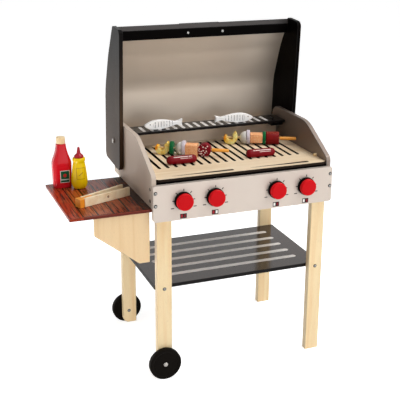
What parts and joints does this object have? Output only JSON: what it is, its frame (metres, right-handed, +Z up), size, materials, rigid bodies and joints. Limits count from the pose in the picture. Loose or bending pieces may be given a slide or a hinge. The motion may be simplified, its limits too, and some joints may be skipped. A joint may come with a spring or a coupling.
{
  "type": "toy barbecue grill",
  "caption": "Wooden play barbecue on legs and wheels, with a hinged lid, turning knobs, slotted grate, warming rack, shelf, side table and play food.",
  "frame": {"origin": "on the floor, under the middle of the outer box of the grill with its lid open", "axes": "+X to the right of someone at the knobs, +Y away from them, +Z up"},
  "size_m": [0.5508, 0.3175, 0.6787],
  "materials": {
    "silver_paint": "silver-grey lacquer on wood",
    "black_paint": "black satin lacquer on wood",
    "charcoal_paint": "dark grey lacquer on plywood with printed pale stripes",
    "natural_wood": "clear satin lacquer on pale wood",
    "red_brown_wood": "red-brown plank print under satin lacquer",
    "red_paint": "red satin lacquer on wood",
    "yellow_paint": "yellow satin lacquer on wood",
    "orange_paint": "orange satin lacquer on wood",
    "white_paint": "white satin lacquer on wood",
    "dark_red_paint": "dark red satin lacquer on wood",
    "salmon_paint": "pink-orange stain on wood",
    "green_felt": "green felt",
    "lilac_felt": "lilac felt",
    "bright_steel": "bright zinc-plated steel"
  },
  "bodies": {
    "grill": {"front_panel": "silver_paint", "left_side_panel": "silver_paint", "right_side_panel": "silver_paint", "back_panel": "silver_paint", "tray_board": "black_paint", "cooking_grate": "natural_wood", "warming_rack": "black_paint", "left_rack_cleat": "black_paint", "right_rack_cleat": "black_paint", "front_left_leg": "natural_wood", "front_right_leg": "natural_wood", "rear_left_leg": "natural_wood", "rear_right_leg": "natural_wood", "lower_shelf": "charcoal_paint", "side_table": "red_brown_wood", "table_bracket": "natural_wood", "front_wheel_bolt": "bright_steel", "rear_wheel_bolt": "bright_steel", "left_hinge_bolt": "bright_steel", "right_hinge_bolt": "bright_steel", "ketchup_bottle": "red_paint", "ketchup_cap": "natural_wood", "mustard_bottle": "yellow_paint", "mustard_nozzle": "red_paint", "tongs_block": "orange_paint", "tongs_front_arm": "natural_wood", "tongs_rear_arm": "natural_wood", "sausage_1": "dark_red_paint", "sausage_2": "dark_red_paint", "fish_1": "white_paint", "fish_2": "white_paint", "kebab_1_stick": "orange_paint", "kebab_1_shrimp": "yellow_paint", "kebab_1_green_ring": "green_felt", "kebab_1_mushroom": "white_paint", "kebab_1_lilac_ring": "lilac_felt", "kebab_1_salmon": "salmon_paint", "kebab_1_salami": "dark_red_paint", "kebab_2_stick": "orange_paint", "kebab_2_shrimp": "yellow_paint", "kebab_2_mushroom": "white_paint", "kebab_2_lilac_ring": "lilac_felt", "kebab_2_salmon": "salmon_paint", "kebab_2_green_ring": "green_felt", "kebab_2_beef": "dark_red_paint"},
    "lid": {"lid_left_side": "black_paint", "lid_right_side": "black_paint", "lid_hood": "black_paint", "lid_front_rail": "black_paint", "lid_handle": "black_paint"},
    "knob_1": {"knob_base_1": "black_paint", "knob_cap_1": "red_paint"},
    "knob_2": {"knob_base_2": "black_paint", "knob_cap_2": "red_paint"},
    "knob_3": {"knob_base_3": "black_paint", "knob_cap_3": "red_paint"},
    "knob_4": {"knob_base_4": "black_paint", "knob_cap_4": "red_paint"},
    "front_wheel": {"front_wheel": "black_paint"},
    "rear_wheel": {"rear_wheel": "black_paint"}
  },
  "joints": [
    {"name": "lid_hinge", "type": "hinge", "parent": "grill", "child": "lid", "pos_m": [0.07325, 0.09434, 0.438], "axis": [1, 0, 0], "range_deg": [0, 86.5]},
    {"name": "knob_1_turn", "type": "hinge", "parent": "grill", "child": "knob_1", "pos_m": [-0.05715, -0.14, 0.3754], "axis": [0, -1, 0], "range_deg": [-120, 120]},
    {"name": "knob_2_turn", "type": "hinge", "parent": "grill", "child": "knob_2", "pos_m": [0.00805, -0.14, 0.3754], "axis": [0, -1, 0], "range_deg": [-120, 120]},
    {"name": "knob_3_turn", "type": "hinge", "parent": "grill", "child": "knob_3", "pos_m": [0.13845, -0.14, 0.3754], "axis": [0, -1, 0], "range_deg": [-120, 120]},
    {"name": "knob_4_turn", "type": "hinge", "parent": "grill", "child": "knob_4", "pos_m": [0.20365, -0.14, 0.3754], "axis": [0, -1, 0], "range_deg": [-120, 120]},
    {"name": "front_wheel_spin", "type": "hinge", "parent": "grill", "child": "front_wheel", "pos_m": [-0.09465, -0.14, 0.033], "axis": [0, 1, 0], "continuous": true},
    {"name": "rear_wheel_spin", "type": "hinge", "parent": "grill", "child": "rear_wheel", "pos_m": [-0.09465, 0.132, 0.033], "axis": [0, 1, 0], "continuous": true}
  ]
}
